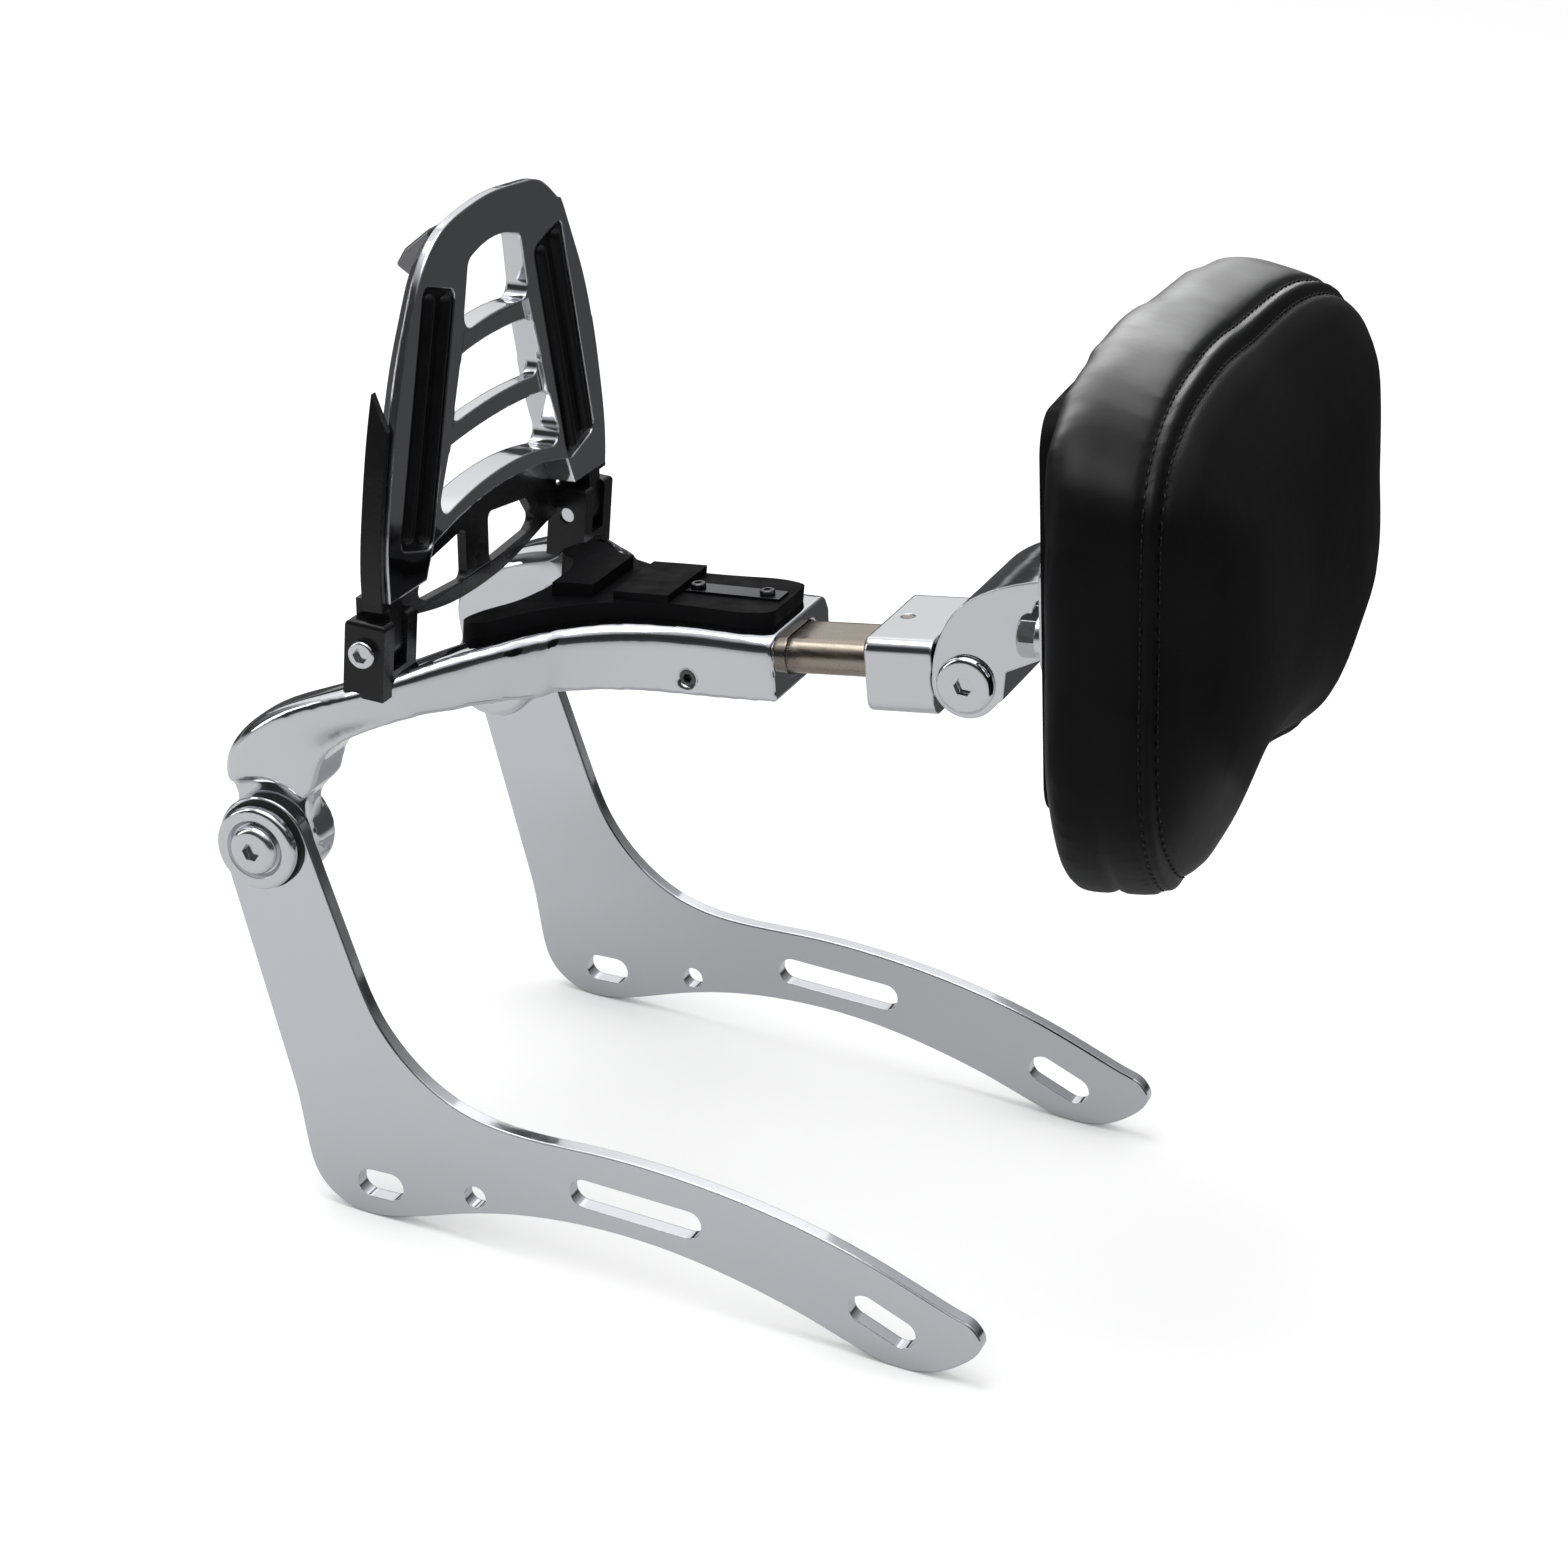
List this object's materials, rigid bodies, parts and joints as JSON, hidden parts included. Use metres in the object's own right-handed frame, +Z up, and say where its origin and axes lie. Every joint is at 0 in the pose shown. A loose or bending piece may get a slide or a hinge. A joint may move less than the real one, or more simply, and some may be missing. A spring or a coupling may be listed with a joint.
{
  "type": "motorcycle sissy bar",
  "caption": "Quick-detach motorcycle sissy bar: slotted side plates, chrome swing yoke, padded backrest on a sliding post and a fold-down luggage rack.",
  "frame": {"origin": "on the axis of the two round locating holes, midway between the side plates", "axes": "+X to the front of the motorcycle, +Y to its left, +Z up; the side plates stand level on their lower edges"},
  "size_m": [0.3595, 0.2682, 0.3635],
  "materials": {
    "chrome_plate": "polished",
    "chrome_casting": "polished",
    "steel_bar": "satin",
    "steel_bracket": "polished",
    "bright_screws": "polished",
    "dark_screws": "satin",
    "strap_metal": "satin",
    "black_metal": "satin",
    "black_moulding": "satin",
    "black_nylon": "matte",
    "bronze": "satin",
    "black_rubber": "matte",
    "black_vinyl": "satin"
  },
  "bodies": {
    "side_plates": {"right_side_plate": "chrome_plate", "left_side_plate": "chrome_plate", "pivot_bolts": "bright_screws", "pivot_cap_washers": "chrome_plate", "pivot_friction_washers": "black_nylon", "pivot_inner_washers": "bright_screws", "pivot_lock_nuts": "bright_screws"},
    "yoke": {"yoke": "chrome_casting", "pivot_bushes": "bronze", "post_set_screw": "dark_screws", "yoke_cover": "black_moulding", "cover_strap": "strap_metal", "cover_screws": "bright_screws", "rack_hinge_blocks": "black_metal", "rack_hinge_screws": "dark_screws"},
    "rack": {"rack_hinge_bracket": "black_metal", "luggage_rack": "chrome_casting", "rack_rubber_strips": "black_rubber", "rack_bracket_screws": "bright_screws", "strap_hooks": "chrome_plate"},
    "post": {"pad_post": "steel_bar", "knuckle_block": "chrome_casting", "post_cross_pin": "steel_bar", "knuckle_bolt": "bright_screws", "knuckle_nut": "bright_screws"},
    "pad": {"pad_bracket": "steel_bracket", "bracket_bolts": "dark_screws", "pad_back_board": "black_moulding", "pad_cushion": "black_vinyl"}
  },
  "joints": [
    {"name": "yoke_swing", "type": "hinge", "parent": "side_plates", "child": "yoke", "pos_m": [-0.089, 0, 0.119], "axis": [0, 1, 0], "range_deg": [-92, 0]},
    {"name": "rack_fold", "type": "hinge", "parent": "yoke", "child": "rack", "pos_m": [-0.055, 0, 0.1968], "axis": [0, 1, 0], "range_deg": [0, 66]},
    {"name": "post_slide", "type": "slide", "parent": "yoke", "child": "post", "axis": [0.9863, 0, 0.165], "range_m": [-0.026, 0.025]},
    {"name": "pad_tilt", "type": "hinge", "parent": "post", "child": "pad", "pos_m": [0.14122, 0, 0.20692], "axis": [0, 1, 0], "range_deg": [-10, 20]}
  ]
}
